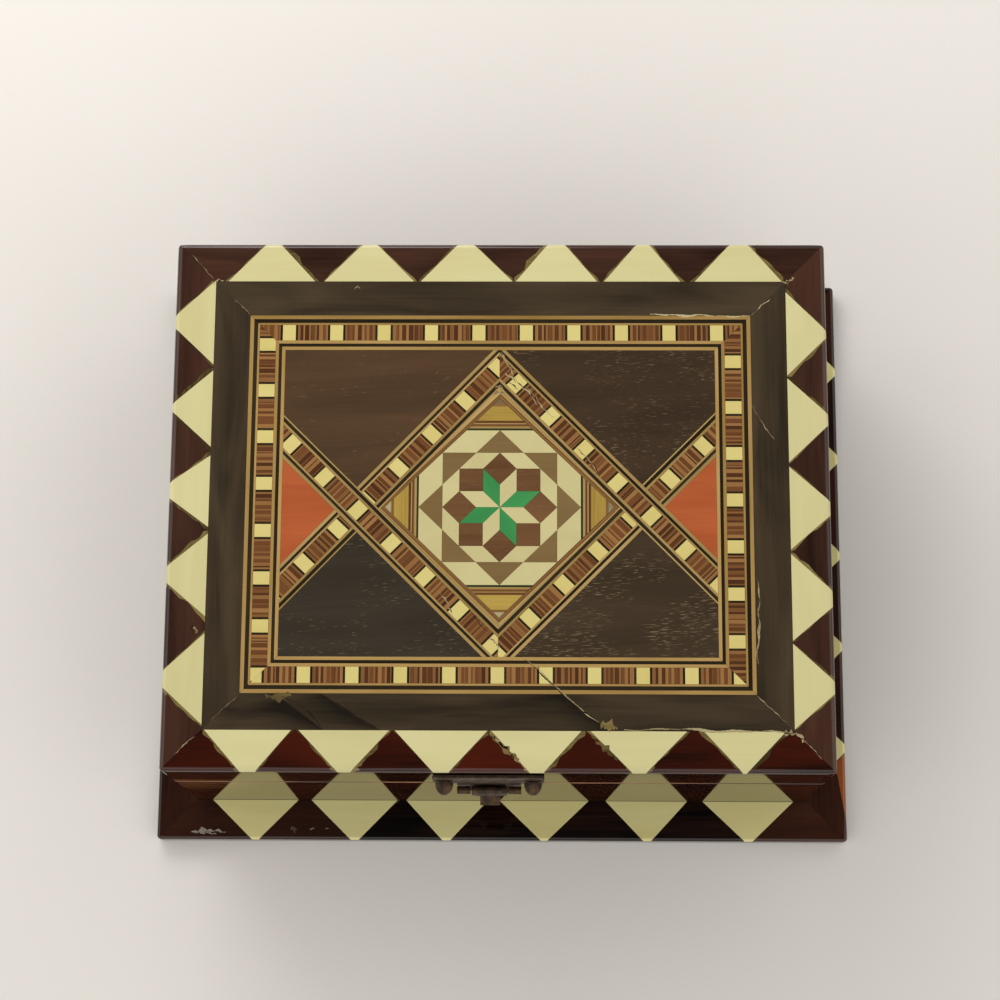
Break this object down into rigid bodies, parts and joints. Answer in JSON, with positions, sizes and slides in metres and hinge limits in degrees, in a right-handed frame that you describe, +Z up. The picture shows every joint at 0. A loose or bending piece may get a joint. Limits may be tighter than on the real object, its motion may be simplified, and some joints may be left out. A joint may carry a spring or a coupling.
{
  "type": "inlaid music box",
  "caption": "Hinged wooden box on a projecting flange, its lid inlaid with a star medallion, bands and triangles.",
  "frame": {"origin": "centre of the underside, on the surface that the box stands on", "axes": "+Z up, +X along the front to the right as seen from the front, -Y towards the front with the catch"},
  "size_m": [0.1694, 0.1422, 0.067],
  "materials": {
    "polished_case": "dark red-brown wood under high-gloss lacquer",
    "plain_wood": "plain wood, lightly polished",
    "triangle_inlay": "cream and dark red-brown wood triangles under gloss lacquer",
    "dark_border": "near-black brown veneer under gloss lacquer",
    "stringing": "striped wood stringing under gloss lacquer",
    "marquetry": "wood marquetry under gloss lacquer",
    "aged_brass": "aged brown brass"
  },
  "bodies": {
    "case": {"base_moulding_front": "triangle_inlay", "base_moulding_back": "triangle_inlay", "base_moulding_left": "triangle_inlay", "base_moulding_right": "triangle_inlay", "body_front_board": "polished_case", "body_back_board": "polished_case", "body_left_board": "polished_case", "body_right_board": "polished_case", "bottom_board": "plain_wood", "catch_keeper": "aged_brass", "hinge_left_body_leaf": "aged_brass", "hinge_left_pin": "aged_brass", "hinge_right_body_leaf": "aged_brass", "hinge_right_pin": "aged_brass"},
    "lid": {"lid_front_board": "polished_case", "lid_back_board": "polished_case", "lid_left_board": "polished_case", "lid_right_board": "polished_case", "lid_core_board": "plain_wood", "lid_triangle_band_front": "triangle_inlay", "lid_triangle_band_back": "triangle_inlay", "lid_triangle_band_left": "triangle_inlay", "lid_triangle_band_right": "triangle_inlay", "lid_border_front": "dark_border", "lid_border_back": "dark_border", "lid_border_left": "dark_border", "lid_border_right": "dark_border", "lid_stringing_front": "stringing", "lid_stringing_back": "stringing", "lid_stringing_left": "stringing", "lid_stringing_right": "stringing", "lid_marquetry_panel": "marquetry", "catch_plate": "aged_brass", "catch_tongue": "aged_brass", "catch_tack_left": "aged_brass", "catch_tack_right": "aged_brass", "catch_knuckle_left": "aged_brass", "catch_knuckle_right": "aged_brass", "hinge_left_lid_leaf": "aged_brass", "hinge_right_lid_leaf": "aged_brass"}
  },
  "joints": [
    {"name": "lid_hinge", "type": "hinge", "parent": "case", "child": "lid", "pos_m": [0, 0.06345, 0.046], "axis": [-1, 0, 0], "range_deg": [0, 100]}
  ]
}
